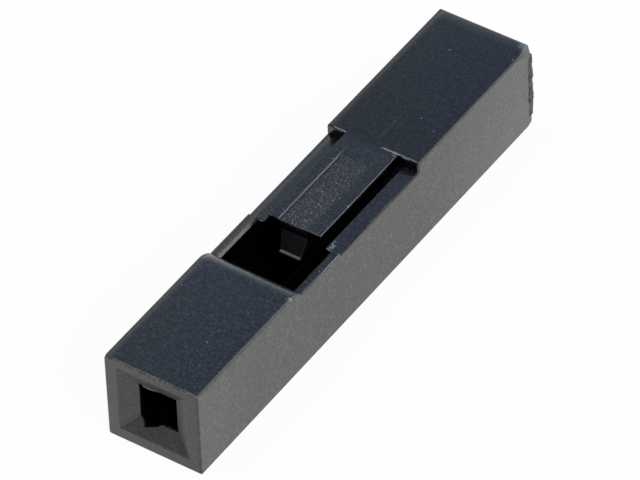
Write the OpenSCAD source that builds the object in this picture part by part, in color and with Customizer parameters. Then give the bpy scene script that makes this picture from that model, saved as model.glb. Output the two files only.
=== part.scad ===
// Crimp connector housing, single way: one plastic moulding, in millimetres.
// X runs across the width, Y from the mating face to the wire end and Z up to the latch side.
// The origin is at the middle of the rest face.

/* [Body] */
// Width across the side faces
body_w = 2.54; // [2.4:0.02:2.8]
// Length from the mating face to the wire end
body_l = 13.7; // [13:0.1:18]
// Height from the rest face to the top face
body_h = 2.44; // [2.4:0.02:2.8]
// Radius along the long outer edges
long_edge_r = 0.06; // [0.03:0.01:0.1]
// Radius round the mating end
mating_edge_r = 0.04; // [0.02:0.01:0.1]
// Radius round the wire end
wire_edge_r = 0.05; // [0.03:0.01:0.14]

/* [Contact cavity] */
// Wall at each side of the cavity
side_wall = 0.27; // [0.22:0.01:0.32]
// Wall under the cavity
floor_wall = 0.27; // [0.22:0.01:0.35]
// Wall over the cavity
roof_wall = 0.4; // [0.36:0.01:0.48]
// Wall between the mating face and the cavity
front_wall = 1; // [0.6:0.05:1.6]
// Depth of the flared lead-in at the wire end
lead_in_depth = 0.3; // [0.1:0.02:0.6]
// Flare of the lead-in on each side
lead_in_flare = 0.1; // [0.04:0.01:0.11]

/* [Pin entry] */
// Width and height of the funnel at the mating face
mouth_w = 1.9; // [1.5:0.01:2]
// Width and height of the throat that the pin passes
throat_w = 1.02; // [0.8:0.01:1.2]
// Depth of the funnel
funnel_depth = 0.22; // [0.1:0.01:0.45]
// Height of the entry's middle above the body's middle
entry_rise = 0.045; // [0:0.005:0.08]

/* [Latch window] */
// Distance from the mating face to the window
window_start = 4.14; // [3:0.01:5]
// Length of the window
window_l = 4.8; // [4.4:0.01:6]
// Depth of the wall tops beside the open hole, below the top face
wall_drop = 0.22; // [0.12:0.01:0.25]
// Depth of the ledges beside the tongue, below the top face
ledge_drop = 0.28; // [0.2:0.01:0.32]
// Radius of the top edge that leads down into the window
brow_r = 0.6; // [0.25:0.01:0.7]
// Chamfer along the inner edge of each low wall
wall_chamfer = 0.06; // [0.02:0.01:0.1]

/* [Latch tongue] */
// Length of the tongue from its root to its tip
tongue_l = 3.19; // [2.6:0.01:4]
// Width of the tongue
tongue_w = 1.43; // [1.2:0.01:1.6]
// Gap between the tongue and each ledge
slot_gap = 0.12; // [0.08:0.01:0.16]
// How far the ledges run past the tip
ledge_lead = 0.05; // [0:0.01:0.2]
// Depth of the tongue's top below the top face
tongue_drop = 0.02; // [0.01:0.01:0.06]
// Thickness of the tip
tip_t = 0.26; // [0.2:0.01:0.32]
// Width of the shallow recess along the tongue
recess_w = 0.83; // [0.5:0.01:1]
// Depth of the recess
recess_depth = 0.05; // [0.02:0.01:0.08]
// Width of the slope down each side of the recess
recess_slope = 0.04; // [0.01:0.01:0.1]
// Plain length between the recess and the root
recess_margin = 0.49; // [0.2:0.01:1]
// Length over which the recess runs out
recess_runout = 0.3; // [0.1:0.02:0.6]

/* [Latch hook] */
// Height of the hook below the tip
hook_h = 0.53; // [0.3:0.01:0.7]
// How far the catching edge leans ahead of the tip
hook_lean = 0.25; // [0:0.01:0.35]
// Width of the hook where it meets the tongue
hook_top_w = 0.72; // [0.6:0.01:1]
// Width of the catching edge
hook_edge_w = 0.57; // [0.3:0.01:0.6]
// How far the toe along the catching edge stands out from the hook's face
hook_toe = 0.065; // [0.04:0.005:0.1]
// Height of the toe
hook_toe_h = 0.05; // [0.04:0.005:0.1]
// Height of the toe's blunt nose
hook_nose = 0.02; // [0.01:0.005:0.03]
// Length of the flat behind the catching edge
hook_flat = 0.07; // [0.02:0.01:0.15]
// Length of the ramp that a contact lifts on its way in
hook_ramp = 0.8; // [0.4:0.02:1.2]

/* [Hidden] */
$fn = 64;
plastic = [0.045, 0.047, 0.055];
// How far a cut runs past the faces that it opens
cut_past = 1;
// How far one form reaches into the next, so that they are one moulding
bond = 0.1;

mating_y = -body_l / 2;
wire_y = body_l / 2;
window_y = mating_y + window_start;
root_y = window_y + window_l;
tip_y = root_y - tongue_l;
ledge_y = tip_y - ledge_lead;

pin_z = body_h / 2 + entry_rise;
cavity_w = body_w - 2 * side_wall;
roof_z = body_h - roof_wall;
cavity_h = roof_z - floor_wall;
cavity_z = floor_wall + cavity_h / 2;
slot_w = tongue_w + 2 * slot_gap;
wall_z = body_h - wall_drop;

tongue_z = body_h - tongue_drop;
tip_under_z = tongue_z - tip_t;
hook_z = tip_under_z - hook_h;

// Sets a profile drawn with x as Y and y as Z across the width w
module across(w) {
    rotate([90, 0, 90])
        translate([0, 0, -w / 2])
            linear_extrude(height = w) children();
}

// Sets a profile drawn with x as X and y as Z along the length, from y0 to y1
module along(y0, y1) {
    translate([0, y1, 0])
        rotate([90, 0, 0])
            linear_extrude(height = y1 - y0) children();
}

// A rectangle with its middle at the origin and its corners rounded, low_r at the low end of x and high_r
// at the high end
module rounded_rect(length, width, low_r, high_r) {
    low = -length / 2;
    high = length / 2;
    translate([low + low_r, -width / 2])
        square([length - low_r - high_r, width]);
    translate([low, -width / 2 + low_r])
        square([low_r, width - 2 * low_r]);
    translate([high - high_r, -width / 2 + high_r])
        square([high_r, width - 2 * high_r]);
    for (side = [-1, 1]) {
        translate([low + low_r, side * (width / 2 - low_r)])
            circle(r = low_r);
        translate([high - high_r, side * (width / 2 - high_r)])
            circle(r = high_r);
    }
}

// A square bar whose section changes evenly from w0 by h0 at y0 to w1 by h1 at y1, about the height z
module flare(y0, w0, h0, y1, w1, h1, z) {
    widest = max(w0, w1);
    intersection() {
        across(widest)
            polygon([[y0, z - h0 / 2], [y1, z - h1 / 2], [y1, z + h1 / 2], [y0, z + h0 / 2]]);
        linear_extrude(height = z + max(h0, h1))
            polygon([[-w0 / 2, y0], [-w1 / 2, y1], [w1 / 2, y1], [w0 / 2, y0]]);
    }
}

// The plain bar with every outer edge rounded
module bar() {
    intersection() {
        across(body_w)
            translate([0, body_h / 2])
                rounded_rect(body_l, body_h, mating_edge_r, wire_edge_r);
        linear_extrude(height = body_h)
            rotate([0, 0, 90])
                rounded_rect(body_l, body_w, mating_edge_r, wire_edge_r);
        along(mating_y, wire_y)
            translate([0, body_h / 2])
                rounded_rect(body_w, body_h, long_edge_r, long_edge_r);
    }
}

// Funnel and square passage for the pin, through the front wall
module pin_entry() {
    mouth_past = mouth_w + (mouth_w - throat_w) / funnel_depth * bond;
    flare(mating_y - bond, mouth_past, mouth_past, mating_y + funnel_depth, throat_w, throat_w, pin_z);
    along(mating_y + funnel_depth - bond, mating_y + front_wall + bond)
        translate([-throat_w / 2, pin_z - throat_w / 2])
            square(throat_w);
}

// Space for the crimped contact, open and flared at the wire end
module contact_cavity() {
    flare_past = 2 * lead_in_flare * (1 + bond / lead_in_depth);
    along(mating_y + front_wall, wire_y + cut_past)
        translate([-cavity_w / 2, floor_wall])
            square([cavity_w, cavity_h]);
    flare(wire_y - lead_in_depth, cavity_w, cavity_h,
        wire_y + bond, cavity_w + flare_past, cavity_h + flare_past, cavity_z);
}

// Side view of what the window takes off the top: low walls, lower ledges and the rounded brow before them
module window_profile() {
    brow_run = sqrt(brow_r * brow_r - (brow_r - wall_drop) * (brow_r - wall_drop));
    brow_y = window_y - brow_run;
    translate([window_y, wall_z])
        square([root_y - window_y, wall_drop + cut_past]);
    translate([ledge_y, body_h - ledge_drop])
        square([root_y - ledge_y, ledge_drop + cut_past]);
    difference() {
        translate([brow_y, wall_z])
            square([brow_run, wall_drop + cut_past]);
        translate([brow_y, body_h - brow_r])
            circle(r = brow_r);
    }
}

// Cross-section of the hole between the low walls, chamfered along their inner edges
module hole_section() {
    half = cavity_w / 2;
    edge = half + wall_chamfer;
    polygon([
        [-half, cavity_z],
        [half, cavity_z],
        [half, wall_z - wall_chamfer],
        [edge, wall_z],
        [edge, body_h],
        [-edge, body_h],
        [-edge, wall_z],
        [-half, wall_z - wall_chamfer]
    ]);
}

// The window: its side view right across the bar, then the hole and the slots down into the cavity
module latch_window() {
    across(body_w + 2 * cut_past)
        window_profile();
    along(window_y, ledge_y)
        hole_section();
    translate([-slot_w / 2, ledge_y - bond, cavity_z])
        cube([slot_w, root_y - ledge_y + bond, body_h]);
}

// The wedge under the tip that drops behind a contact and keeps it in, with a toe along its catching edge
module hook() {
    rise = bond / hook_h;
    top_z = tip_under_z + bond;
    ramp_slope = (hook_lean - hook_flat + hook_ramp) / hook_h;
    edge_y = tip_y - hook_lean;
    top_w = hook_top_w + (hook_top_w - hook_edge_w) * rise;
    intersection() {
        across(top_w)
            polygon([
                [tip_y + hook_lean * rise, top_z],
                [edge_y + hook_toe, hook_z + hook_toe_h],
                [edge_y, hook_z + hook_nose],
                [edge_y, hook_z],
                [edge_y + hook_flat, hook_z],
                [edge_y + hook_flat + ramp_slope * (hook_h + bond), top_z]
            ]);
        along(edge_y, root_y)
            polygon([
                [-hook_edge_w / 2, hook_z],
                [hook_edge_w / 2, hook_z],
                [top_w / 2, top_z],
                [-top_w / 2, top_z]
            ]);
    }
}

// The shallow recess along the tongue, with sloping sides, which runs out towards the root
module tongue_recess() {
    recess_end_y = root_y - recess_margin;
    recess_z = tongue_z - recess_depth;
    half = recess_w / 2;
    floor_half = half - recess_slope;
    intersection() {
        across(recess_w)
            polygon([
                [tip_y - cut_past, recess_z],
                [recess_end_y - recess_runout, recess_z],
                [recess_end_y, tongue_z],
                [recess_end_y, tongue_z + cut_past],
                [tip_y - cut_past, tongue_z + cut_past]
            ]);
        along(tip_y - cut_past, recess_end_y)
            polygon([
                [-floor_half, recess_z],
                [floor_half, recess_z],
                [half, tongue_z],
                [half, tongue_z + cut_past],
                [-half, tongue_z + cut_past],
                [-half, tongue_z]
            ]);
    }
}

// The springy tongue that reaches forward from the rear block, thinner at its tip
module tongue() {
    difference() {
        across(tongue_w)
            polygon([
                [tip_y, tip_under_z],
                [root_y, roof_z],
                [root_y + bond, roof_z],
                [root_y + bond, tongue_z],
                [tip_y, tongue_z]
            ]);
        tongue_recess();
    }
    hook();
}

// The whole moulding
module housing() {
    color(plastic) {
        difference() {
            bar();
            pin_entry();
            contact_cavity();
            latch_window();
        }
        tongue();
    }
}

housing();
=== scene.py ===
"""A crimp connector housing: the black moulding, its finish, the white ground and the light."""
import math

import bmesh
import bpy
from mathutils import Matrix, Vector


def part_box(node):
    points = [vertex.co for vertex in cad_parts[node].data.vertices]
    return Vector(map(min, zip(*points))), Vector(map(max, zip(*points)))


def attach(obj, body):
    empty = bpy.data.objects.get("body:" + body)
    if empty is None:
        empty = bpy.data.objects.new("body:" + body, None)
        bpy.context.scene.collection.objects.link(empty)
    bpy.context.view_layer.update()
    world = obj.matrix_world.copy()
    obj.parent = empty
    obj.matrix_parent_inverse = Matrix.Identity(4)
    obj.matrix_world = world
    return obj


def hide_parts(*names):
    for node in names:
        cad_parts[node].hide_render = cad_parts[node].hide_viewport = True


# Units: the moulding is drawn in millimetres and set in metres once it is whole.
MM = 0.001

# Walls of the contact cavity
SIDE_WALL = 0.27
FLOOR_WALL = 0.27
ROOF_WALL = 0.40
FRONT_WALL = 1.0
LEAD_IN_DEPTH = 0.30
LEAD_IN_FLARE = 0.10

# Pin entry
MOUTH_WIDTH = 1.90
THROAT_WIDTH = 1.02
ENTRY_RISE = 0.045
FUNNEL_DEPTH = 0.22

# Latch window
WINDOW_START = 4.14
WINDOW_LENGTH = 4.78
WALL_DROP = 0.22
LEDGE_DROP = 0.28
WALL_CHAMFER = 0.06
BROW_RADIUS = 0.60
BROW_STEPS = 12
BROW_SKEW = -0.010
HOLE_LEAD = 0.02

# Latch tongue, which sits a little to the left
TONGUE_X = -0.035
TONGUE_LENGTH = 3.17
TONGUE_WIDTH = 1.43
SLOT_GAP = 0.12
LEDGE_LEAD = 0.05
TONGUE_DROP = 0.02
ROOT_DROP = 0.002
TIP_THICKNESS = 0.26
RECESS_X = -0.03
RECESS_WIDTH = 0.83
RECESS_DEPTH = 0.05
RECESS_SLOPE = 0.03
RECESS_RIGHT_SLOPE = 0.30
RECESS_MARGIN = 0.47
RECESS_RUNOUT = 0.30
RECESS_TIP_SHARE = 0.55
RECESS_FULL_SHARE = 0.9
RECESS_END_SHARE = 0.02

# Latch hook
HOOK_HEIGHT = 0.53
HOOK_LEAN = 0.25
HOOK_TOP_WIDTH = 0.72
HOOK_EDGE_WIDTH = 0.57
HOOK_FLAT = 0.07
HOOK_TOE = 0.065
HOOK_TOE_HEIGHT = 0.05
HOOK_TOE_NOSE = 0.02
HOOK_RAMP = 0.80

# Nick torn out of the throat's lower left, as (x, z) corners, and how deep it runs
NICK_CORNERS = ((-0.51, 0.80), (0.10, 0.80), (-0.35, 0.585))
NICK_FRONT = 0.03
NICK_BACK = 0.60
NICK_DIP = 0.25

# Burr that hangs from the throat's top edge, as (x, drop) corners, and how far in it runs
BURR_CORNERS = (
    (0.17, -0.02),
    (0.12, 0.025),
    (-0.06, 0.065),
    (-0.26, 0.11),
    (-0.41, 0.09),
    (-0.47, 0.02),
)
BURR_FRONT = 0.03
BURR_BACK = 0.10
BURR_ROOT = 0.05

# Flash left along the wire end's right edge
FLASH_X = 1.165
FLASH_OUT = -0.07
FLASH_LEAN = 0.04
FLASH_LOW = 0.33
FLASH_HIGH = 2.11
FLASH_THICKNESS = 0.145
FLASH_RAGGED = 0.05
FLASH_THINNEST = 0.25
FLASH_LOW_TAPER = (-0.06, 0.03)
FLASH_HIGH_TAPER = (1.0, 0.72)
FLASH_LUMP_SCALE = 5.0
FLASH_POINTS = 56
FLASH_SIDES = 12
FLASH_SEED = 3.0

# Corners that are worn off: how far in, along and down from each corner
WORN_TOP = Vector((0.09, 0.90, 0.34))
WORN_FOOT = Vector((0.05, 0.20, -0.09))
WORN_FRONT = Vector((-0.07, -0.11, 0.09))

# Light scuff marks and painted glints: where each one is, and how far it reaches across and along
SCUFFS_AND_GLINTS = (
    (Vector((0.93, -0.97, 2.16)), 0.09, 0.20),
    (Vector((0.75, 1.38, 2.16)), 0.04, 0.05),
    (Vector((0.60, 2.05, 2.42)), 0.06, 0.12),
    (Vector((0.66, 0.05, 2.42)), 0.03, 0.05),
    (Vector((1.22, -3.17, 2.41)), 0.07, 0.10),
)

# How far a cut runs past the faces that it opens, and how far one form reaches into the next
CUT_PAST = 1.0
BOND = 0.1

# Edge rounding
ROUND_STEPS = 4
SHARP_ANGLE = math.radians(25)
FLAT_ANGLE = math.radians(0.5)
LEFT_EDGE = 0.06
RIGHT_EDGE = 0.08
SILL_EDGE = 0.045
FOOT_EDGE = 0.04
LEFT_FOOT_EDGE = 0.13
MATING_EDGE = 0.035
MATING_TOP_EDGE = 0.06
ENTRY_EDGE = 0.01
WIRE_EDGE = 0.04
LEDGE_CORNER = 0.06
TONGUE_EDGE = 0.03
TONGUE_LEFT_EDGE = 0.008
ROOT_EDGE = 0.001
STEP_EDGE = 0.03
STEP_START = 0.06
STEP_TAPER = 0.045
FINE_EDGE = 0.02
LARGEST_EDGE = 0.13
NEAR = 0.02
SAME_POINT = 0.0002

# Camera, from the photograph's own perspective
LENS_PIXELS = 6623.6
FRAME_PIXELS = 640
SENSOR_WIDTH = 36.0
NEAREST_SEEN = 0.01
FARTHEST_SEEN = 10.0
EYE = Vector((63.8598, -89.6457, 105.2792))
RIGHT = Vector((0.8303766, 0.5563286, -0.0311943))
FORWARD = Vector((-0.4218665, 0.5911316, -0.6874533))

# Gentle bow of the moulded faces, and the soft run of the faces over their edges
CROWN = 0.030
REAR_BOW = 0.007
REAR_BOW_Y = 8.0
LEDGE_SLOPE = 0.09
WALL_SLOPE = 0.22
LEFT_ROLL_WIDTH = 0.22
LEFT_ROLL_DROP = 0.066
RIGHT_ROLL_WIDTH = 0.10
RIGHT_ROLL_DROP = 0.010
REAR_ROLL_WIDTH = 0.45
REAR_ROLL_DROP = 0.050
STEP_ROLL_WIDTH = 0.05
STEP_ROLL_DROP = 0.020

# Grain of the plastic: how fine each noise is, and how deep
FINE_SCALE = 30.0
GRAIN_SCALE = 13.0
PATCH_SCALE = 1.3
NOISE_MIDDLE = 0.5
NOISE_DETAIL = 2.0
PATCH_DETAIL = 3.0
FINE_DEPTH = 0.0025
RECESS_FINE_DEPTH = 0.010
GRAIN_DEPTH = 0.003
PATCH_DEPTH = 0.008

# Borders of the marks: how soft they are, and how far past a face a dark one reaches
SOFT = 0.01
HAIR = 0.006

# Where the marks lie on the plastic, with pairs for where one is nothing and where it is full
RECESS_RAGGED = 0.2
RECESS_FADE = 0.14
KNIT_X = 0.03
KNIT_WANDER = 0.06
KNIT_EDGE = 0.07
KNIT_CORE = 0.01
KNIT_START = 0.4
KNIT_FADE = 0.8
KNIT_END = 1.5
SCUFF_AND_GLINT_CORE = 0.3
WORN_RAGGED = 0.25
WORN_EDGE = 0.48
WORN_CORE = 0.24
PAINTED_GLINT_REACH = 1.0
SHADE_REACH = 0.3
MIDDLE_FRONT = (-3.6, -1.6)
MIDDLE_REAR = (3.0, 1.2)
FRONT_DUST_AND_SHEEN_Y = -4.0
REAR_DUST_AND_SHEEN_Y = 2.0
ROOT_LINE_X = (-0.1, 0.4)
BESIDE_TONGUE = (0.79, 0.81)

# Dark shade in the nick, from and to
NICK_SHADE_X = (-0.60, 0.14)
NICK_SHADE_Z = (0.25, 0.83)

# Rubbed edges: how far down the rounding they start, and how far down they are full
FRONT_EDGE_SHARE = 0.8
RUBBED_SHARES = (0.7, 0.45)

# Specks of dust: how close the cells are, and how large a speck can be
DUST_SCALE = 4.0
DUST_SMALLEST = 0.03
DUST_SPREAD = 0.09
DUST_CORE = 0.6

# Noise levels at which each mark is nothing and is full
SPECKLE_LEVELS = (0.44, 0.66)
PAINTED_SPARKLE_LEVELS = (0.56, 0.70)
PAINTED_GLINT_LEVELS = (0.67, 0.73)
SIDE_GRAIN_LEVELS = (0.48, 0.62)
SIDE_DUST_AND_SHEEN_LEVELS = (0.45, 0.70)
SCUFF_AND_GLINT_LEVELS = (0.40, 0.60)
FRONT_WEAR_LEVELS = (0.35, 0.60)
DUST_LEVELS = (0.66, 0.68)

# How strongly each mark shows
FINE_SHARE = 0.6
SIDE_FINE_SHARE = 0.5
SIDE_GRAIN_LEAST = 0.5
MIDDLE_CALM = 0.05
SIDE_DUST_AND_SHEEN_LEAST = 0.3
FRONT_DUST_AND_SHEEN_SHARE = 0.4
SHADE_SHARE = 0.4
PAINTED_SPARKLE_SHARE = 0.4
KNIT_SHARE = 0.06
PAINTED_GLINT_SHARE = 0.7
SCUFF_AND_GLINT_SHARE = 0.7
WORN_SHARE = 0.5
WORN_TOP_SHARE = 0.7
ROOT_LINE_SHARE = 0.6

# Colours of the plastic and of the marks on it, among them painted highlights, sheen and shade
BLACK = (0.0, 0.0, 0.0, 1)
PLASTIC_DARK = (0.001, 0.0015, 0.003, 1)
PLASTIC_LIGHT = (0.030, 0.031, 0.034, 1)
# The recess's sparkle and glint colours are painted highlights; the knit line shares the sparkle
# colour
KNIT_AND_PAINTED_SPARKLE_COLOUR = (0.15, 0.165, 0.175, 1)
PAINTED_GLINT_COLOUR = (0.45, 0.48, 0.47, 1)
SIDE_GRAIN_COLOUR = (0.084, 0.084, 0.086, 1)
# Dust and painted sheen on the side faces, lighter towards their ends
SIDE_DUST_AND_SHEEN_COLOUR = (0.085, 0.085, 0.085, 1)
FRONT_WEAR_COLOUR = (0.06, 0.06, 0.06, 1)
# Painted shade on the hook under the tongue's tip
HOOK_SHADE_COLOUR = (0.005, 0.005, 0.006, 1)
# Light scuff marks and painted glints
SCUFF_AND_GLINT_COLOUR = (0.22, 0.22, 0.25, 1)
WORN_COLOUR = (0.09, 0.09, 0.09, 1)
WORN_TOP_COLOUR = (0.16, 0.16, 0.165, 1)
NICK_SHADE_COLOUR = (0.003, 0.003, 0.003, 1)
DUST_COLOUR = (0.20, 0.205, 0.21, 1)

# Gloss of the plastic, and what each mark adds to its roughness
PLASTIC_IOR = 1.65
PLASTIC_ROUGHNESS = 0.16
LARGEST_ROUGHNESS = 0.9
PATCH_DULL = 0.08
SPECKLE_DULL = 0.04
RECESS_DULL = 0.05
RECESS_LINE_DULL = 0.2
DUST_DULL = 0.4
WORN_DULL = 0.2
FUNNEL_DULL = 0.18
EDGE_DULL = 0.3
TOE_DULL = 0.3

# Broken plastic of the flash
TORN_SCALE = 12.0
TORN_DETAIL = 3.0
TORN_LEVELS = (0.35, 0.65)
TORN_DARK = (0.018, 0.018, 0.018, 1)
TORN_LIGHT = (0.076, 0.076, 0.075, 1)
TORN_ROUGHNESS = 0.45
TORN_ROUGHNESS_SPREAD = 0.3
TORN_DEPTH = 0.05

# Ground and light
GROUND_SIZE = 4.0
GROUND_DROP = 0.003
GROUND_COLOUR = (0.95, 0.92, 0.88, 1)
GROUND_GLOW = 0.94
GROUND_SHINE = 0.90
WHITE = (1, 1, 1, 1)
FRONT_WALLS = (0.27, 0.29, 0.33, 1)
SKY = (
    (0.0, (1.0, 1.0, 1.0, 1)),
    (0.15, (0.86, 0.90, 0.96, 1)),
    (0.50, (0.46, 0.57, 0.72, 1)),
    (0.68, (0.32, 0.43, 0.60, 1)),
    (1.0, (0.22, 0.31, 0.45, 1)),
)

# Way to the back of the room, across and along, and where its dim front turns into its back
BACK_WAY = (0.5, 0.86)
ROOM_TURN = (-0.4, 0.5)

# Square lamps: where each one is, how wide it is in metres, and its radiance
LAMP_DISTANCE = 0.5
SOFTBOXES = (
    ("right_back_softbox", (0.75, 0.62, 0.25), 0.3, 3.0),
    ("overhead_softbox", (-0.42, -0.12, 0.90), 0.25, 4.0),
    ("right_softbox", (0.75, -0.35, 0.60), 0.35, 4.0),
)

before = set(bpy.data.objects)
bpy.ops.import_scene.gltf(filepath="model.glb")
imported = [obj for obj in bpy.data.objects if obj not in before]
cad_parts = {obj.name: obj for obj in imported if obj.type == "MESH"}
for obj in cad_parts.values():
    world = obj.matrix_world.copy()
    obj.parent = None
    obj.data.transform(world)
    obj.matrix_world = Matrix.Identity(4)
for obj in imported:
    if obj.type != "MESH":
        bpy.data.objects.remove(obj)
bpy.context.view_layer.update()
housing_low, housing_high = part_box("housing")
WIDTH, LENGTH, HEIGHT = (housing_high - housing_low) / MM

MATING_Y = -LENGTH / 2
WIRE_Y = LENGTH / 2
WINDOW_Y = MATING_Y + WINDOW_START
ROOT_Y = WINDOW_Y + WINDOW_LENGTH
TIP_Y = ROOT_Y - TONGUE_LENGTH
LEDGE_Y = TIP_Y - LEDGE_LEAD
LEDGE_Z = HEIGHT - LEDGE_DROP
PIN_Z = HEIGHT / 2 + ENTRY_RISE
CAVITY_WIDTH = WIDTH - 2 * SIDE_WALL
ROOF_Z = HEIGHT - ROOF_WALL
CAVITY_HEIGHT = ROOF_Z - FLOOR_WALL
CAVITY_Z = FLOOR_WALL + CAVITY_HEIGHT / 2
SLOT_WIDTH = TONGUE_WIDTH + 2 * SLOT_GAP
TONGUE_Z = HEIGHT - TONGUE_DROP
RECESS_END = ROOT_Y - RECESS_MARGIN
RECESS_LEFT = RECESS_X - RECESS_WIDTH / 2 + RECESS_SLOPE
TIP_UNDER_Z = TONGUE_Z - TIP_THICKNESS
HOOK_Z = TIP_UNDER_Z - HOOK_HEIGHT


class Signal:
    """One output of a shader node: arithmetic on it adds the Math nodes that work it out."""

    def __init__(self, tree, output=None):
        self.tree = tree
        self.output = output

    def node(self, kind, settings=None, sockets=None, output=0):
        """Adds a node: first its settings, then the values or links of its sockets."""
        made = self.tree.nodes.new(kind)
        for name, value in (settings or {}).items():
            if name == "stops":
                while len(made.color_ramp.elements) < len(value):
                    made.color_ramp.elements.new(1)
                for stop, (place, colour) in zip(made.color_ramp.elements, value):
                    stop.position = place
                    stop.color = colour
            else:
                setattr(made, name, value)
        for key, value in (sockets or {}).items():
            if isinstance(value, Signal):
                self.tree.links.new(value.output, made.inputs[key])
            else:
                made.inputs[key].default_value = value
        return Signal(self.tree, made.outputs[output])

    def beside(self, output):
        """Another output of the same node."""
        return Signal(self.tree, self.output.node.outputs[output])

    def into(self, shader, socket):
        """Links this to a socket of a finished shader."""
        self.tree.links.new(self.output, shader.inputs[socket])

    def maths(self, operation, *values):
        return self.node("ShaderNodeMath", {"operation": operation}, dict(enumerate(values)))

    def __add__(self, other):
        return self.maths("ADD", self, other)

    def __radd__(self, other):
        return self.maths("ADD", other, self)

    def __sub__(self, other):
        return self.maths("SUBTRACT", self, other)

    def __rsub__(self, other):
        return self.maths("SUBTRACT", other, self)

    def __mul__(self, other):
        return self.maths("MULTIPLY", self, other)

    def __rmul__(self, other):
        return self.maths("MULTIPLY", other, self)

    def __truediv__(self, other):
        return self.maths("DIVIDE", self, other)

    def __rtruediv__(self, other):
        return self.maths("DIVIDE", other, self)

    def __abs__(self):
        return self.maths("ABSOLUTE", self)

    def most(self, other):
        return self.maths("MAXIMUM", self, other)

    def least(self, other):
        return self.maths("MINIMUM", self, other)

    def rise(self, low, high):
        """0 at low and 1 at high, with a smooth run between them; low may be the larger."""
        sockets = {"Value": self, "From Min": low, "From Max": high}
        return self.node("ShaderNodeMapRange", {"interpolation_type": "SMOOTHSTEP"}, sockets)

    def between(self, low, high):
        """1 from low to high, with a narrow run inside each of them."""
        return self.rise(low, low + NEAR) * self.rise(high, high - NEAR)

    def colour(self, low, high):
        """A colour between two others, by this mask."""
        return self.node("ShaderNodeMix", {"data_type": "RGBA"}, {0: self, 6: low, 7: high}, 2)


def mesh_object(name, form):
    """Turns a bmesh into an object at the origin."""
    bmesh.ops.recalc_face_normals(form, faces=form.faces)
    mesh = bpy.data.meshes.new(name)
    form.to_mesh(mesh)
    form.free()
    made = bpy.data.objects.new(name, mesh)
    bpy.context.scene.collection.objects.link(made)
    return made


def loft(name, rings):
    """A closed solid through rings of points, each ring with as many points as the next."""
    form = bmesh.new()
    loops = [[form.verts.new(point) for point in ring] for ring in rings]
    count = len(loops[0])
    for near, far in zip(loops, loops[1:]):
        for i in range(count):
            j = (i + 1) % count
            form.faces.new((near[i], near[j], far[j], far[i]))
    form.faces.new(loops[0])
    form.faces.new(loops[-1])
    return mesh_object(name, form)


def across(name, outline, width):
    """A prism right across the width, from an outline of (y, z) points."""
    sides = (-width / 2, width / 2)
    return loft(name, [[(x, y, z) for y, z in outline] for x in sides])


def block(name, low, high):
    """A plain block between two corners."""
    outline = [(low[1], low[2]), (high[1], low[2]), (high[1], high[2]), (low[1], high[2])]
    return loft(name, [[(x, y, z) for y, z in outline] for x in (low[0], high[0])])


def flare(name, stations):
    """A bar along Y, with a section of (y, width, height, middle height) at each station."""
    rings = []
    for y, width, height, z in stations:
        half_w, half_h = width / 2, height / 2
        corners = ((-half_w, -half_h), (half_w, -half_h), (half_w, half_h), (-half_w, half_h))
        rings.append([(x, y, z + up) for x, up in corners])
    return loft(name, rings)


def plain_mesh(source):
    """The mesh of an object with its modifiers worked in."""
    graph = bpy.context.evaluated_depsgraph_get()
    return bpy.data.meshes.new_from_object(source.evaluated_get(graph), depsgraph=graph)


def join_forms(base, tool, operation):
    """Cuts a form away from the base, or welds it on, and takes the form out of the scene."""
    step = base.modifiers.new("join", "BOOLEAN")
    step.operation = operation
    step.solver = "EXACT"
    step.object = tool
    worked = plain_mesh(base)
    base.modifiers.remove(step)
    base.data = worked
    bpy.data.objects.remove(tool)


def window_form():
    """What the window takes off the top, from the rounded brow back to the tongue's root."""
    sweep = math.acos(1 - WALL_DROP / BROW_RADIUS)
    run = BROW_RADIUS * math.sin(sweep)
    turns = [math.pi / 2 - sweep * i / BROW_STEPS for i in range(BROW_STEPS + 1)]
    rings = []
    for x in (-WIDTH / 2 - CUT_PAST, WIDTH / 2 + CUT_PAST):
        brow_y = WINDOW_Y + BROW_SKEW * x - run
        low_z = HEIGHT - BROW_RADIUS
        outline = []
        for turn in turns:
            forward, rise = BROW_RADIUS * math.cos(turn), BROW_RADIUS * math.sin(turn)
            outline.append((brow_y + forward, low_z + rise))
        outline += [
            (LEDGE_Y, HEIGHT - WALL_DROP),
            (LEDGE_Y, LEDGE_Z),
            (ROOT_Y, LEDGE_Z),
            (ROOT_Y, HEIGHT + CUT_PAST),
            (brow_y, HEIGHT + CUT_PAST),
        ]
        rings.append([(x, y, z) for y, z in outline])
    return loft("window", rings)


def hole_form():
    """The hole between the low walls, down to the cavity, with a chamfer along each wall."""
    wall_z = HEIGHT - WALL_DROP
    half = CAVITY_WIDTH / 2
    right = [(half, CAVITY_Z), (half, wall_z - WALL_CHAMFER), (half + WALL_CHAMFER, wall_z)]
    right.append((half + WALL_CHAMFER, HEIGHT))
    left = [(-x, z) for x, z in reversed(right)]
    front = [(x, WINDOW_Y + BROW_SKEW * x - HOLE_LEAD, z) for x, z in right + left]
    back = [(x, LEDGE_Y, z) for x, z in right + left]
    return loft("hole", [front, back])


def worn_corner(name, corner, reach):
    """The cut that wears a corner off, by as much as it reaches in along each edge."""
    middle = corner - reach / 3
    spread = [Vector((2, -1, -1)), Vector((-1, 2, -1)), Vector((-1, -1, 2))]
    near = [middle + way * reach for way in spread]
    outward = Vector([1 / length for length in reach]).normalized()
    return loft(name, [near, [point + outward for point in near]])


def tongue_top(y):
    """The height of the tongue's top, which rises a little from its tip to its root."""
    return TONGUE_Z + (TONGUE_DROP - ROOT_DROP) * (y - TIP_Y) / TONGUE_LENGTH


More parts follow.
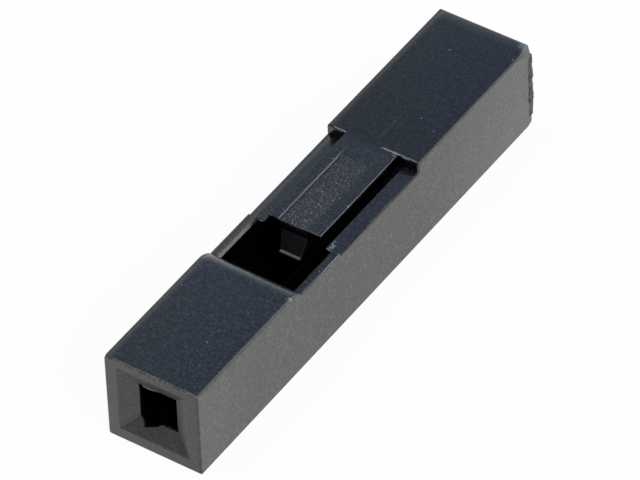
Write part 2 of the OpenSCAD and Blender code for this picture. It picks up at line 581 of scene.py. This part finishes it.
def tongue_form():
    """The springy tongue with its shallow recess."""
    form = across("tongue", [
        (TIP_Y, TIP_UNDER_Z),
        (ROOT_Y, ROOF_Z),
        (ROOT_Y + BOND, ROOF_Z),
        (ROOT_Y + BOND, HEIGHT - ROOT_DROP),
        (ROOT_Y, HEIGHT - ROOT_DROP),
        (TIP_Y, TONGUE_Z),
    ], TONGUE_WIDTH)
    top_half = RECESS_WIDTH / 2
    stations = (
        (TIP_Y - CUT_PAST, RECESS_TIP_SHARE),
        (RECESS_END - RECESS_RUNOUT, RECESS_FULL_SHARE),
        (RECESS_END, RECESS_END_SHARE),
    )
    rings = []
    for y, share in stations:
        top_z = tongue_top(y)
        low_z = top_z - RECESS_DEPTH * share
        high_z = top_z + CUT_PAST
        outline = [
            (top_half - RECESS_RIGHT_SLOPE * share, low_z),
            (top_half, top_z),
            (top_half, high_z),
            (-top_half, high_z),
            (-top_half, top_z),
            (RECESS_SLOPE * share - top_half, low_z),
        ]
        rings.append([(x, y, z) for x, z in outline])
    recess = loft("recess", rings)
    recess.data.transform(Matrix.Translation((RECESS_X, 0, 0)))
    join_forms(form, recess, "DIFFERENCE")
    return form


def hook_form():
    """The wedge under the tip, narrower at its catching edge, with a small toe along that edge."""
    rise = BOND / HOOK_HEIGHT
    edge_y = TIP_Y - HOOK_LEAN
    ramp = (HOOK_LEAN - HOOK_FLAT + HOOK_RAMP) / HOOK_HEIGHT
    outline = [
        (TIP_Y + HOOK_LEAN * rise, TIP_UNDER_Z + BOND),
        (edge_y + HOOK_TOE, HOOK_Z + HOOK_TOE_HEIGHT),
        (edge_y, HOOK_Z + HOOK_TOE_NOSE),
        (edge_y, HOOK_Z),
        (edge_y + HOOK_FLAT, HOOK_Z),
        (edge_y + HOOK_FLAT + ramp * (HOOK_HEIGHT + BOND), TIP_UNDER_Z + BOND),
    ]
    spread = (HOOK_TOP_WIDTH - HOOK_EDGE_WIDTH) / HOOK_HEIGHT
    rings = []
    for side in (-0.5, 0.5):
        rings.append([(side * (HOOK_EDGE_WIDTH + spread * (z - HOOK_Z)), y, z) for y, z in outline])
    return loft("hook", rings)


def entry_nick():
    """The torn place at the lower left of the throat."""
    left, right, lowest = NICK_CORNERS
    deep = (lowest[0], lowest[1] - NICK_DIP)
    rings = []
    for y, corners in ((NICK_FRONT, NICK_CORNERS), (NICK_BACK, (left, right, deep))):
        rings.append([(x, MATING_Y + y, z) for x, z in corners])
    return loft("entry_nick", rings)


def throat_burr():
    """The ragged burr that hangs from the throat's top edge."""
    top = PIN_Z + THROAT_WIDTH / 2
    first, last = BURR_CORNERS[0][0], BURR_CORNERS[-1][0]
    outline = [(last, top + BURR_ROOT), (first, top + BURR_ROOT)]
    outline += [(x, top - drop) for x, drop in BURR_CORNERS]
    rings = []
    for y in (BURR_FRONT, BURR_BACK):
        rings.append([(x, MATING_Y + FUNNEL_DEPTH + y, z) for x, z in outline])
    return loft("throat_burr", rings)


def edge_radius(edge):
    """The rounding of one sharp outer edge, by where it lies on the moulding."""
    middle = (edge.verts[0].co + edge.verts[1].co) / 2
    off_middle = abs(middle.x)

    def near(value, place):
        return abs(value - place) < NEAR

    at_side = near(off_middle, WIDTH / 2)
    at_level = near(middle.z, 0) or near(middle.z, HEIGHT)
    if near(middle.y, WIRE_Y) and (at_side or at_level):
        return WIRE_EDGE
    if near(middle.y, MATING_Y):
        if near(middle.z, HEIGHT):
            return MATING_TOP_EDGE
        return MATING_EDGE if at_side or at_level else ENTRY_EDGE
    if middle.y < MATING_Y + FRONT_WALL + NEAR and not at_side and not at_level:
        return ENTRY_EDGE
    if at_side and near(middle.z, 0):
        return FOOT_EDGE if middle.x > 0 else LEFT_FOOT_EDGE
    if at_side:
        rise = max(0, (middle.z - HEIGHT + WALL_DROP) / WALL_DROP)
        long_edge = RIGHT_EDGE if middle.x > 0 else LEFT_EDGE
        return SILL_EDGE + (long_edge - SILL_EDGE) * rise
    by_hole = WINDOW_Y - BOND < middle.y < LEDGE_Y + NEAR
    if by_hole and abs(off_middle - CAVITY_WIDTH / 2 - WALL_CHAMFER / 2) < WALL_CHAMFER / 2 + NEAR:
        return 0
    if near(middle.y, ROOT_Y) and near(middle.z, HEIGHT):
        return ROOT_EDGE if abs(middle.x - TONGUE_X) < TONGUE_WIDTH / 2 + STEP_START else STEP_EDGE
    if near(middle.y, LEDGE_Y) and near(off_middle, SLOT_WIDTH / 2):
        return LEDGE_CORNER
    by_recess = TIP_Y + NEAR < middle.y < RECESS_END + NEAR and near(middle.z, TONGUE_Z)
    if by_recess and abs(middle.x - TONGUE_X - RECESS_X) < RECESS_WIDTH / 2 + NEAR:
        return 0
    if near(abs(middle.x - TONGUE_X), TONGUE_WIDTH / 2) and near(middle.z, TONGUE_Z):
        return TONGUE_EDGE if middle.x > 0 else TONGUE_LEFT_EDGE
    return FINE_EDGE


def split_root_edge(form):
    """Parts the rear block's front edge, so that its steps can be rounder than the root."""
    start = TONGUE_WIDTH / 2 + STEP_START
    for place in (-start, STEP_TAPER - start, start - STEP_TAPER, start):
        for edge in list(form.edges):
            near, far = sorted((vert.co for vert in edge.verts), key=lambda spot: spot.x)
            middle = (near + far) / 2
            at_root = abs(middle.y - ROOT_Y) < NEAR and abs(middle.z - HEIGHT) < NEAR
            if at_root and near.x < TONGUE_X + place < far.x:
                first = min(edge.verts, key=lambda vert: vert.co.x)
                share = (TONGUE_X + place - near.x) / (far.x - near.x)
                bmesh.utils.edge_split(edge, first, share)


def round_edges(solid):
    """Gives each outer edge its own small radius, as a moulded edge has."""
    form = bmesh.new()
    form.from_mesh(solid.data)
    bmesh.ops.remove_doubles(form, verts=form.verts, dist=SAME_POINT)
    bmesh.ops.dissolve_limit(form, angle_limit=FLAT_ANGLE, verts=form.verts, edges=form.edges)
    split_root_edge(form)
    weights = form.edges.layers.float.new("bevel_weight_edge")
    for edge in form.edges:
        edge.smooth = edge.calc_face_angle(0) < SHARP_ANGLE
        if edge.is_convex and not edge.smooth:
            edge[weights] = edge_radius(edge) / LARGEST_EDGE
    for face in form.faces:
        face.smooth = True
    form.to_mesh(solid.data)
    form.free()
    rounding = solid.modifiers.new("rounding", "BEVEL")
    rounding.limit_method = "WEIGHT"
    rounding.width = LARGEST_EDGE
    rounding.segments = ROUND_STEPS
    rounding.use_clamp_overlap = False
    rounding.harden_normals = True
    worked = plain_mesh(solid)
    solid.modifiers.remove(rounding)
    solid.data = worked


def moulding():
    """The whole housing, drawn in millimetres and set in metres."""
    solid = block("housing_moulding", (-WIDTH / 2, MATING_Y, 0), (WIDTH / 2, WIRE_Y, HEIGHT))
    cavity_mouth = CAVITY_WIDTH + 2 * LEAD_IN_FLARE
    cavity_mouth_h = CAVITY_HEIGHT + 2 * LEAD_IN_FLARE
    slots_low = (-SLOT_WIDTH / 2, LEDGE_Y - BOND, CAVITY_Z)
    slots_high = (SLOT_WIDTH / 2, ROOT_Y, HEIGHT)
    cuts = [
        window_form(),
        hole_form(),
        block("slots", slots_low, slots_high),
        flare("cavity", [
            (MATING_Y + FRONT_WALL, CAVITY_WIDTH, CAVITY_HEIGHT, CAVITY_Z),
            (WIRE_Y - LEAD_IN_DEPTH, CAVITY_WIDTH, CAVITY_HEIGHT, CAVITY_Z),
            (WIRE_Y, cavity_mouth, cavity_mouth_h, CAVITY_Z),
            (WIRE_Y + CUT_PAST, cavity_mouth, cavity_mouth_h, CAVITY_Z),
        ]),
        flare("pin_entry", [
            (MATING_Y - CUT_PAST, MOUTH_WIDTH, MOUTH_WIDTH, PIN_Z),
            (MATING_Y, MOUTH_WIDTH, MOUTH_WIDTH, PIN_Z),
            (MATING_Y + FUNNEL_DEPTH, THROAT_WIDTH, THROAT_WIDTH, PIN_Z),
            (MATING_Y + FRONT_WALL + BOND, THROAT_WIDTH, THROAT_WIDTH, PIN_Z),
        ]),
        entry_nick(),
        worn_corner("worn_top", Vector((WIDTH / 2, WIRE_Y, HEIGHT)), WORN_TOP),
        worn_corner("worn_foot", Vector((WIDTH / 2, WIRE_Y, 0)), WORN_FOOT),
        worn_corner("worn_front", Vector((-WIDTH / 2, MATING_Y, HEIGHT)), WORN_FRONT),
    ]
    for cut in cuts:
        join_forms(solid, cut, "DIFFERENCE")
    for addition in (tongue_form(), hook_form()):
        addition.data.transform(Matrix.Translation((TONGUE_X, 0, 0)))
        join_forms(solid, addition, "UNION")
    join_forms(solid, throat_burr(), "UNION")
    round_edges(solid)
    solid.data.transform(Matrix.Scale(MM, 4))
    return solid


def photograph_camera():
    """The camera where the photograph was taken from, with the same long lens."""
    data = bpy.data.cameras.new("photograph_camera")
    data.sensor_width = SENSOR_WIDTH
    data.lens = LENS_PIXELS * SENSOR_WIDTH / FRAME_PIXELS
    data.clip_start = NEAREST_SEEN
    data.clip_end = FARTHEST_SEEN
    camera = bpy.data.objects.new("photograph_camera", data)
    bpy.context.scene.collection.objects.link(camera)
    up = RIGHT.cross(FORWARD)
    turn = Matrix((RIGHT, up, -FORWARD)).transposed().to_4x4()
    camera.matrix_world = Matrix.Translation(EYE * MM) @ turn
    bpy.context.scene.camera = camera


def new_finish(name):
    """A new material with its shader, and each point's place on the piece in millimetres."""
    material = bpy.data.materials.new(name)
    material.use_nodes = True
    shader = material.node_tree.nodes["Principled BSDF"]
    metres = Signal(material.node_tree).node("ShaderNodeTexCoord", output="Object")
    scale = {0: metres, "Scale": 1 / MM}
    place = metres.node("ShaderNodeVectorMath", {"operation": "SCALE"}, scale)
    return material, shader, place


def noise(place, scale, detail):
    """Smooth noise over a piece, finer for a larger scale."""
    sockets = {"Vector": place, "Scale": scale, "Detail": detail}
    return place.node("ShaderNodeTexNoise", sockets=sockets)


def bump(height, strength, depth=1.0, under=None):
    """A normal tilted by a height in millimetres, on top of another normal if one is given."""
    sockets = {"Strength": strength, "Distance": depth * MM, "Height": height}
    if under is not None:
        sockets["Normal"] = under
    return height.node("ShaderNodeBump", sockets=sockets)


class PlasticPoint:
    """A point of the black plastic, in millimetres: the noise there and the marks it lies in."""

    def __init__(self, place):
        self.place = place
        self.x = place.node("ShaderNodeSeparateXYZ", sockets={0: place})
        self.y = self.x.beside("Y")
        self.z = self.x.beside("Z")
        self.from_tongue = self.x - TONGUE_X
        self.fine = noise(place, FINE_SCALE, NOISE_DETAIL)
        self.grain = noise(place, GRAIN_SCALE, NOISE_DETAIL)
        self.patches = noise(place, PATCH_SCALE, PATCH_DETAIL)
        speckle = FINE_SHARE * self.fine + (1 - FINE_SHARE) * self.grain
        self.speckle = speckle.rise(*SPECKLE_LEVELS)
        self.off_sides = abs(self.x).rise(WIDTH / 2 - SOFT, WIDTH / 2 - 3 * SOFT)
        self.in_recess = self.recess()
        self.in_dust = self.dust()
        self.in_worn = self.worn()
        self.on_hook = self.hook()
        self.on_front_edge = self.front_edge()
        self.on_step_face = self.step_face()

    def recess(self):
        """The rough floor of the tongue's recess, which ends raggedly at its right."""
        ragged = self.from_tongue + RECESS_RAGGED * self.patches
        mask = self.from_tongue.rise(RECESS_LEFT, RECESS_LEFT + 2 * NEAR)
        mask = mask * ragged.rise(RECESS_WIDTH / 2 + RECESS_FADE, RECESS_WIDTH / 2)
        mask = mask * self.y.rise(RECESS_END, RECESS_END - RECESS_RUNOUT)
        mask = mask * self.y.rise(TIP_Y - NEAR, TIP_Y + NEAR)
        return mask * self.z.rise(TIP_UNDER_Z, TONGUE_Z - RECESS_DEPTH - NEAR)

    def recess_line(self):
        """The light line down the recess's steep left slope."""
        off_line = abs(self.from_tongue - RECESS_LEFT + RECESS_SLOPE / 2)
        mask = off_line.rise(RECESS_SLOPE, RECESS_SLOPE / 2)
        return mask * self.y.rise(TIP_Y, TIP_Y + NEAR) * self.y.rise(RECESS_END + NEAR, RECESS_END)

    def knit(self):
        """The faint line behind the tongue's root, where the plastic met in the mould."""
        off_line = abs(self.x + KNIT_WANDER * self.patches - KNIT_X)
        mask = off_line.rise(KNIT_EDGE, KNIT_CORE)
        mask = mask * self.y.rise(ROOT_Y + KNIT_END, ROOT_Y + KNIT_FADE)
        mask = mask * self.y.rise(ROOT_Y, ROOT_Y + KNIT_START)
        return mask * self.z.rise(HEIGHT - 2 * SOFT, HEIGHT - SOFT)

    def dust(self):
        """Specks of dust of several sizes, in some cells of a pattern."""
        sockets = {"Vector": self.place, "Scale": DUST_SCALE}
        cells = self.place.node("ShaderNodeTexVoronoi", sockets=sockets)
        chance = cells.node("ShaderNodeSeparateColor", sockets={0: cells.beside("Color")})
        size = DUST_SMALLEST + DUST_SPREAD * chance.beside("Green") * chance.beside("Blue")
        return (cells / size).rise(1.0, DUST_CORE) * chance.rise(*DUST_LEVELS)

    def nick(self):
        """The torn place at the lower left of the throat, where dark shade is painted."""
        back_y = MATING_Y + NICK_BACK
        throat_y = MATING_Y + FUNNEL_DEPTH
        mask = self.x.between(*NICK_SHADE_X) * self.z.between(*NICK_SHADE_Z)
        mask = mask * self.y.rise(back_y, back_y - NEAR)
        return mask * self.y.rise(throat_y - FUNNEL_DEPTH / 2, throat_y)

    def funnel(self):
        """The sloping faces of the pin entry."""
        throat_y = MATING_Y + FUNNEL_DEPTH
        border = (MOUTH_WIDTH / 2 + SOFT, MOUTH_WIDTH / 2 - SOFT)
        mask = abs(self.x).rise(*border) * abs(self.z - PIN_Z).rise(*border)
        return mask * self.y.rise(throat_y + 3 * SOFT, throat_y + SOFT)

    def front_edge(self):
        """The rounded top edge of the mating face."""
        mask = self.y.rise(MATING_Y + MATING_TOP_EDGE, MATING_Y + MATING_TOP_EDGE / 2)
        low_z = HEIGHT - MATING_TOP_EDGE
        return mask * self.z.rise(low_z, HEIGHT - FRONT_EDGE_SHARE * MATING_TOP_EDGE)

    def rubbed_edges(self):
        """The long top edges and the front one, which are rubbed dull."""
        low_share, high_share = RUBBED_SHARES
        mask = abs(self.x).rise(WIDTH / 2 - RIGHT_EDGE, WIDTH / 2 - RIGHT_EDGE / 2)
        mask = mask * self.z.rise(HEIGHT - low_share * RIGHT_EDGE, HEIGHT - high_share * RIGHT_EDGE)
        return mask.most(self.on_front_edge)

    def hook(self):
        """The wedge under the tongue's tip."""
        half = HOOK_TOP_WIDTH / 2
        edge_y = TIP_Y - HOOK_LEAN
        mask = abs(self.from_tongue).rise(half + 2 * SOFT, half + SOFT)
        mask = mask * self.z.rise(HOOK_Z - 2 * SOFT, HOOK_Z - SOFT)
        mask = mask * self.z.rise(TIP_UNDER_Z - SOFT, TIP_UNDER_Z - 3 * SOFT)
        mask = mask * self.y.rise(edge_y - 2 * NEAR, edge_y - NEAR)
        return mask * self.y.rise(ROOT_Y, ROOT_Y - BOND)

    def toe(self):
        """The small toe along the hook's catching edge."""
        toe_z = HOOK_Z + HOOK_TOE_HEIGHT
        return self.on_hook * self.z.rise(toe_z + SOFT / 2, toe_z - SOFT / 2)

    def step_face(self):
        """The faces of the steps beside the tongue's root."""
        mask = abs(self.y - ROOT_Y).rise(2 * HAIR, HAIR)
        mask = mask * self.z.rise(LEDGE_Z - 3 * SOFT, LEDGE_Z - SOFT)
        mask = mask * self.z.rise(HEIGHT - 3 * SOFT, HEIGHT - 5 * SOFT)
        return mask * self.off_sides

    def inside(self):
        """Where painted shade goes: the cavity, the slots and the step faces, which hardly any
        light gets to.
        """
        throat_y = MATING_Y + FUNNEL_DEPTH
        half_cavity, half_slot = CAVITY_WIDTH / 2, SLOT_WIDTH / 2
        mask = abs(self.x).rise(half_cavity + 2 * HAIR, half_cavity + HAIR)
        mask = mask * self.z.rise(LEDGE_Z - SOFT, LEDGE_Z - 2 * SOFT)
        slot = abs(self.x).rise(half_slot + 2 * HAIR, half_slot + HAIR)
        slot = slot * self.z.rise(TONGUE_Z - 3 * SOFT, TONGUE_Z - 4 * SOFT)
        slot = slot * self.y.rise(LEDGE_Y - 2 * SOFT, LEDGE_Y - SOFT)
        mask = mask.most(slot) * (1 - self.on_hook) * (1 - self.in_recess)
        mask = mask * self.y.rise(throat_y + NEAR, throat_y + NEAR + BOND)
        mask = mask * self.y.rise(WIRE_Y - NEAR, WIRE_Y - 3 * NEAR)
        mask = mask * self.z.rise(FLOOR_WALL / 4, FLOOR_WALL / 2)
        return mask.most(self.on_step_face)

    def scuff_and_glint_marks(self):
        """The light scuff marks and painted glints, broken up by the grain."""
        marks = 0.0
        for spot, reach_across, reach_along in SCUFFS_AND_GLINTS:
            mark = abs(self.x - spot.x).rise(reach_across, SCUFF_AND_GLINT_CORE * reach_across)
            mark = mark * abs(self.y - spot.y).rise(reach_along, SCUFF_AND_GLINT_CORE * reach_along)
            marks = mark * abs(self.z - spot.z).rise(3 * NEAR, 2 * NEAR) + marks
        return (marks * self.grain.rise(*SCUFF_AND_GLINT_LEVELS)).least(1)

    def worn(self):
        """The rubbed corner of the wire end, at the top right."""
        sockets = {0: self.place, 1: Vector((WIDTH / 2, WIRE_Y, HEIGHT))}
        settings = {"operation": "DISTANCE"}
        to_corner = self.place.node("ShaderNodeVectorMath", settings, sockets, "Value")
        return (to_corner + WORN_RAGGED * self.grain).rise(WORN_EDGE, WORN_CORE)

    def colour(self):
        """The plastic's colour, with each mark laid over the ones before it; some marks are painted
        highlights, painted sheen and painted shade.
        """
        side = abs(self.x).rise(WIDTH / 2 - 2 * SOFT, WIDTH / 2 - SOFT / 2)
        along_middle = self.y.rise(*MIDDLE_FRONT) * self.y.rise(*MIDDLE_REAR)
        side_grain = SIDE_FINE_SHARE * self.fine + (1 - SIDE_FINE_SHARE) * self.grain
        side_grain = (side_grain - MIDDLE_CALM * along_middle).rise(*SIDE_GRAIN_LEVELS)
        side_grain = side_grain * (SIDE_GRAIN_LEAST + (1 - SIDE_GRAIN_LEAST) * along_middle)
        # Dust and painted sheen: the side faces are lighter towards their ends, most at the wire
        # end
        dust_and_sheen_at_front = FRONT_DUST_AND_SHEEN_SHARE * self.y.rise(FRONT_DUST_AND_SHEEN_Y, MATING_Y)
        dust_and_sheen_at_ends = dust_and_sheen_at_front.most(self.y.rise(REAR_DUST_AND_SHEEN_Y, WIRE_Y))
        dust_and_sheen_mottle = SIDE_DUST_AND_SHEEN_LEAST + (1 - SIDE_DUST_AND_SHEEN_LEAST) * self.fine.rise(*SIDE_DUST_AND_SHEEN_LEVELS)
        behind_root = self.y.rise(ROOT_Y - SHADE_REACH, ROOT_Y)
        # Painted highlights: sparkles and glints of light on the recess's grain
        painted_sparkle = self.fine.rise(*PAINTED_SPARKLE_LEVELS) * self.in_recess
        painted_glint = self.fine.rise(*PAINTED_GLINT_LEVELS) * self.in_recess
        painted_glint = painted_glint * self.y.rise(RECESS_END, TIP_Y + PAINTED_GLINT_REACH)
        worn_top = self.in_worn * self.z.rise(HEIGHT - 3 * SOFT, HEIGHT - SOFT)
        layers = (
            (SHADE_SHARE * behind_root, BLACK),
            (PAINTED_SPARKLE_SHARE * painted_sparkle + KNIT_SHARE * self.knit(), KNIT_AND_PAINTED_SPARKLE_COLOUR),
            (PAINTED_GLINT_SHARE * painted_glint, PAINTED_GLINT_COLOUR),
            (side, side_grain.colour(BLACK, SIDE_GRAIN_COLOUR)),
            (side * dust_and_sheen_at_ends * dust_and_sheen_mottle, SIDE_DUST_AND_SHEEN_COLOUR),
            (self.on_front_edge * self.grain.rise(*FRONT_WEAR_LEVELS), FRONT_WEAR_COLOUR),
            # painted shade on the hook
            (self.on_hook, HOOK_SHADE_COLOUR),
            # light scuff marks and painted glints
            (SCUFF_AND_GLINT_SHARE * self.scuff_and_glint_marks(), SCUFF_AND_GLINT_COLOUR),
            (WORN_SHARE * self.in_worn, WORN_COLOUR),
            (WORN_TOP_SHARE * worn_top, WORN_TOP_COLOUR),
            # painted dark shade in the nick
            (self.nick(), NICK_SHADE_COLOUR),
            (self.in_dust, DUST_COLOUR),
            # painted shade inside the cavity, the slots and the step faces
            (self.inside(), BLACK),
        )
        tone = self.speckle.colour(PLASTIC_DARK, PLASTIC_LIGHT)
        for mask, paint in layers:
            tone = mask.colour(tone, paint)
        return tone

    def roughness(self):
        """How dull the plastic is: glossy, with duller marks."""
        dull = RECESS_DULL * self.in_recess + RECESS_LINE_DULL * self.recess_line()
        dull = dull + DUST_DULL * self.in_dust + WORN_DULL * self.in_worn
        dull = dull + FUNNEL_DULL * self.funnel() + EDGE_DULL * self.rubbed_edges()
        dull = dull + TOE_DULL * self.toe()
        plain = PLASTIC_ROUGHNESS + PATCH_DULL * self.patches + SPECKLE_DULL * self.speckle
        return (plain + dull).least(LARGEST_ROUGHNESS)

    def rear_normal(self):
        """The bow of the rear block's top, and its roll towards the wire end."""
        roll = ((self.y - (WIRE_Y - REAR_ROLL_WIDTH)) / REAR_ROLL_WIDTH).most(0)
        bow = self.y.most(ROOT_Y) - REAR_BOW_Y
        drop = REAR_BOW * bow * bow + REAR_ROLL_DROP * roll * roll * roll
        return bump(0 - drop, self.off_sides)

    def left_normal(self, under):
        """The roll of the top towards its left edge, off the faces that look forward."""
        roll = ((LEFT_ROLL_WIDTH - WIDTH / 2 - self.x) / LEFT_ROLL_WIDTH).most(0)
        off_mating = self.y.rise(MATING_Y + SOFT, MATING_Y + 2 * SOFT)
        off_fronts = off_mating * (1 - self.on_step_face)
        return bump(0 - LEFT_ROLL_DROP * roll * roll, off_fronts, under=under)

    def step_normal(self, under):
        """The light line on the steps, which runs on over the right half of the tongue's root."""
        roll = ((ROOT_Y + STEP_ROLL_WIDTH - self.y) / STEP_ROLL_WIDTH).most(0).least(1)
        on_step = abs(self.from_tongue).rise(TONGUE_WIDTH / 2, TONGUE_WIDTH / 2 + NEAR)
        on_line = on_step.most(ROOT_LINE_SHARE * self.x.rise(*ROOT_LINE_X))
        return bump(0 - STEP_ROLL_DROP * roll, on_line * self.off_sides, under=under)

    def normal(self):
        """The grain, and the soft run of the moulded faces."""
        right_roll = ((self.x - (WIDTH / 2 - RIGHT_ROLL_WIDTH)) / RIGHT_ROLL_WIDTH).most(0)
        drop = CROWN * self.x * self.x + RIGHT_ROLL_DROP * right_roll * right_roll
        in_window = self.y.rise(WINDOW_Y - NEAR, WINDOW_Y + NEAR)
        in_window = in_window * self.y.rise(ROOT_Y + SOFT, ROOT_Y - SOFT)
        by_hole = self.y.rise(LEDGE_Y + SOFT, LEDGE_Y - SOFT)
        from_side = WIDTH / 2 - abs(self.x)
        ledge_lift = (1 - by_hole) * LEDGE_SLOPE * from_side
        wall_lift = by_hole * WALL_SLOPE * from_side.least(SIDE_WALL - WALL_CHAMFER)
        beside_tongue = in_window * abs(self.x).rise(*BESIDE_TONGUE)
        drop = drop - beside_tongue * (ledge_lift + wall_lift)
        texture = (FINE_DEPTH + RECESS_FINE_DEPTH * self.in_recess) * self.fine
        texture = texture + GRAIN_DEPTH * self.grain + PATCH_DEPTH * self.patches
        under = self.step_normal(self.left_normal(self.rear_normal()))
        return bump(texture - drop, 1.0, under=under)


def plastic_finish():
    """Black moulded plastic: fine grain, a rougher recess, a knit line, wear, scuff marks and dust,
    with painted glints, painted sheen on the sides and painted shade inside, on the hook and in the
    nick.
    """
    material, shader, place = new_finish("black_moulded_plastic")
    point = PlasticPoint(place)
    shader.inputs["IOR"].default_value = PLASTIC_IOR
    point.colour().into(shader, "Base Color")
    point.roughness().into(shader, "Roughness")
    point.normal().into(shader, "Normal")
    return material


def torn_finish():
    """The dull broken plastic of the flash."""
    material, shader, place = new_finish("torn_plastic")
    lumps = noise(place, TORN_SCALE, TORN_DETAIL)
    lumps.rise(*TORN_LEVELS).colour(TORN_DARK, TORN_LIGHT).into(shader, "Base Color")
    (TORN_ROUGHNESS + TORN_ROUGHNESS_SPREAD * lumps).into(shader, "Roughness")
    bump(lumps, 1.0, TORN_DEPTH).into(shader, "Normal")
    return material


def flash_tree():
    """A lumpy bead swept along a line, for plastic that squeezed out where two mould halves met."""
    tree = bpy.data.node_groups.new("wire_end_flash", "GeometryNodeTree")
    sockets = {}
    for name, kind in (
        ("Low End", "NodeSocketVector"),
        ("High End", "NodeSocketVector"),
        ("Thickness", "NodeSocketFloat"),
        ("Raggedness", "NodeSocketFloat"),
        ("Seed", "NodeSocketFloat"),
        ("Finish", "NodeSocketMaterial"),
    ):
        socket = tree.interface.new_socket(name, in_out="INPUT", socket_type=kind)
        sockets[name] = socket.identifier
    tree.interface.new_socket("Flash", in_out="OUTPUT", socket_type="NodeSocketGeometry")
    low = Signal(tree).node("NodeGroupInput", output="Low End")
    ends = {"Start": low, "End": low.beside("High End")}
    spine = low.node("GeometryNodeCurvePrimitiveLine", sockets=ends)
    points = {"Curve": spine, "Count": FLASH_POINTS}
    spine = spine.node("GeometryNodeResampleCurve", sockets=points)
    ring = {"Resolution": FLASH_SIDES, "Radius": low.beside("Thickness")}
    section = low.node("GeometryNodeCurvePrimitiveCircle", sockets=ring)
    along = low.node("GeometryNodeSplineParameter")
    taper = along.rise(*FLASH_LOW_TAPER) * along.rise(*FLASH_HIGH_TAPER)
    girth = {"Curve": spine, "Radius": FLASH_THINNEST + (1 - FLASH_THINNEST) * taper}
    spine = spine.node("GeometryNodeSetCurveRadius", sockets=girth)
    sweep = {"Curve": spine, "Profile Curve": section, "Fill Caps": True}
    bead = spine.node("GeometryNodeCurveToMesh", sockets=sweep)
    where = low.node("GeometryNodeInputPosition")
    waves = {"Vector": where, "W": low.beside("Seed"), "Scale": FLASH_LUMP_SCALE}
    lumps = where.node("ShaderNodeTexNoise", {"noise_dimensions": "4D"}, waves)
    outward = where.node("GeometryNodeInputNormal")
    push = (lumps - NOISE_MIDDLE) * low.beside("Raggedness") / NOISE_MIDDLE
    shift = {0: outward, "Scale": push}
    offset = outward.node("ShaderNodeVectorMath", {"operation": "SCALE"}, shift)
    bead = bead.node("GeometryNodeSetPosition", sockets={"Geometry": bead, "Offset": offset})
    bead = bead.node("GeometryNodeRealizeInstances", sockets={0: bead})
    finish = {"Geometry": bead, "Material": low.beside("Finish")}
    bead = bead.node("GeometryNodeSetMaterial", sockets=finish)
    bead.into(tree.nodes.new("NodeGroupOutput"), 0)
    return tree, sockets


def wire_end_flash():
    """The ragged flash down the wire end's right edge."""
    piece = mesh_object("wire_end_flash", bmesh.new())
    tree, sockets = flash_tree()
    sweep = piece.modifiers.new("sweep", "NODES")
    sweep.node_group = tree
    values = {
        "Low End": (FLASH_X, WIRE_Y + FLASH_OUT + FLASH_LEAN, FLASH_LOW),
        "High End": (FLASH_X, WIRE_Y + FLASH_OUT, FLASH_HIGH),
        "Thickness": FLASH_THICKNESS,
        "Raggedness": FLASH_RAGGED,
        "Seed": FLASH_SEED,
        "Finish": torn_finish(),
    }
    for name, value in values.items():
        sweep[sockets[name]] = value
    worked = plain_mesh(piece)
    piece.modifiers.remove(sweep)
    worked.transform(Matrix.Scale(MM, 4))
    piece.data = worked
    return piece


def ground():
    """A white table top that glows to the lens and in reflections, and still takes the shadow."""
    half = GROUND_SIZE / 2
    form = bmesh.new()
    corners = ((-half, -half), (half, -half), (half, half), (-half, half))
    form.faces.new([form.verts.new((x, y, -GROUND_DROP * MM)) for x, y in corners])
    table = mesh_object("table_top", form)
    material = bpy.data.materials.new("white_table_top")
    material.use_nodes = True
    tree = material.node_tree
    tree.nodes.clear()
    start = Signal(tree)
    camera_ray = start.node("ShaderNodeLightPath", output="Is Camera Ray")
    shine = camera_ray.beside("Is Glossy Ray") + camera_ray.beside("Is Transmission Ray")
    seen = (camera_ray * GROUND_GLOW).most(shine * GROUND_SHINE)
    card = start.node("ShaderNodeBsdfDiffuse", sockets={"Color": GROUND_COLOUR})
    glow = start.node("ShaderNodeEmission", sockets={"Color": WHITE, "Strength": 1.0})
    mixed = start.node("ShaderNodeMixShader", sockets={0: seen, 1: card, 2: glow})
    output = tree.nodes.new("ShaderNodeOutputMaterial")
    mixed.into(output, "Surface")
    table.data.materials.append(material)


def surroundings():
    """White at eye level behind the housing and to the lens, dim in front, bluish above."""
    world = bpy.data.worlds.new("surroundings")
    world.use_nodes = True
    shader = world.node_tree.nodes["Background"]
    start = Signal(world.node_tree)
    toward = start.node("ShaderNodeTexCoord", output="Generated")
    right = toward.node("ShaderNodeSeparateXYZ", sockets={0: toward})
    back, up = right.beside("Y"), right.beside("Z")
    sky = up.node("ShaderNodeValToRGB", {"stops": SKY}, {"Fac": up})
    backward = BACK_WAY[0] * right + BACK_WAY[1] * back
    room = backward.rise(*ROOM_TURN).colour(FRONT_WALLS, sky)
    camera_ray = start.node("ShaderNodeLightPath", output="Is Camera Ray")
    camera_ray.colour(room, WHITE).into(shader, "Color")
    bpy.context.scene.world = world


def softbox(name, toward, width, radiance):
    """A square lamp that faces the housing from one direction."""
    data = bpy.data.lights.new(name, "AREA")
    data.shape = "SQUARE"
    data.size = width
    data.energy = radiance * math.pi * width * width
    lamp = bpy.data.objects.new(name, data)
    bpy.context.scene.collection.objects.link(lamp)
    direction = Vector(toward).normalized()
    lamp.location = direction * LAMP_DISTANCE
    lamp.rotation_euler = direction.to_track_quat("Z", "Y").to_euler()
    lamp.visible_camera = False


photograph_camera()
ground()
surroundings()
for softbox_values in SOFTBOXES:
    softbox(*softbox_values)

housing = moulding()
housing.data.materials.clear()
housing.data.materials.append(plastic_finish())
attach(housing, "root")
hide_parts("housing")
flash = wire_end_flash()
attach(flash, "root")
bpy.context.scene.view_settings.view_transform = "Standard"
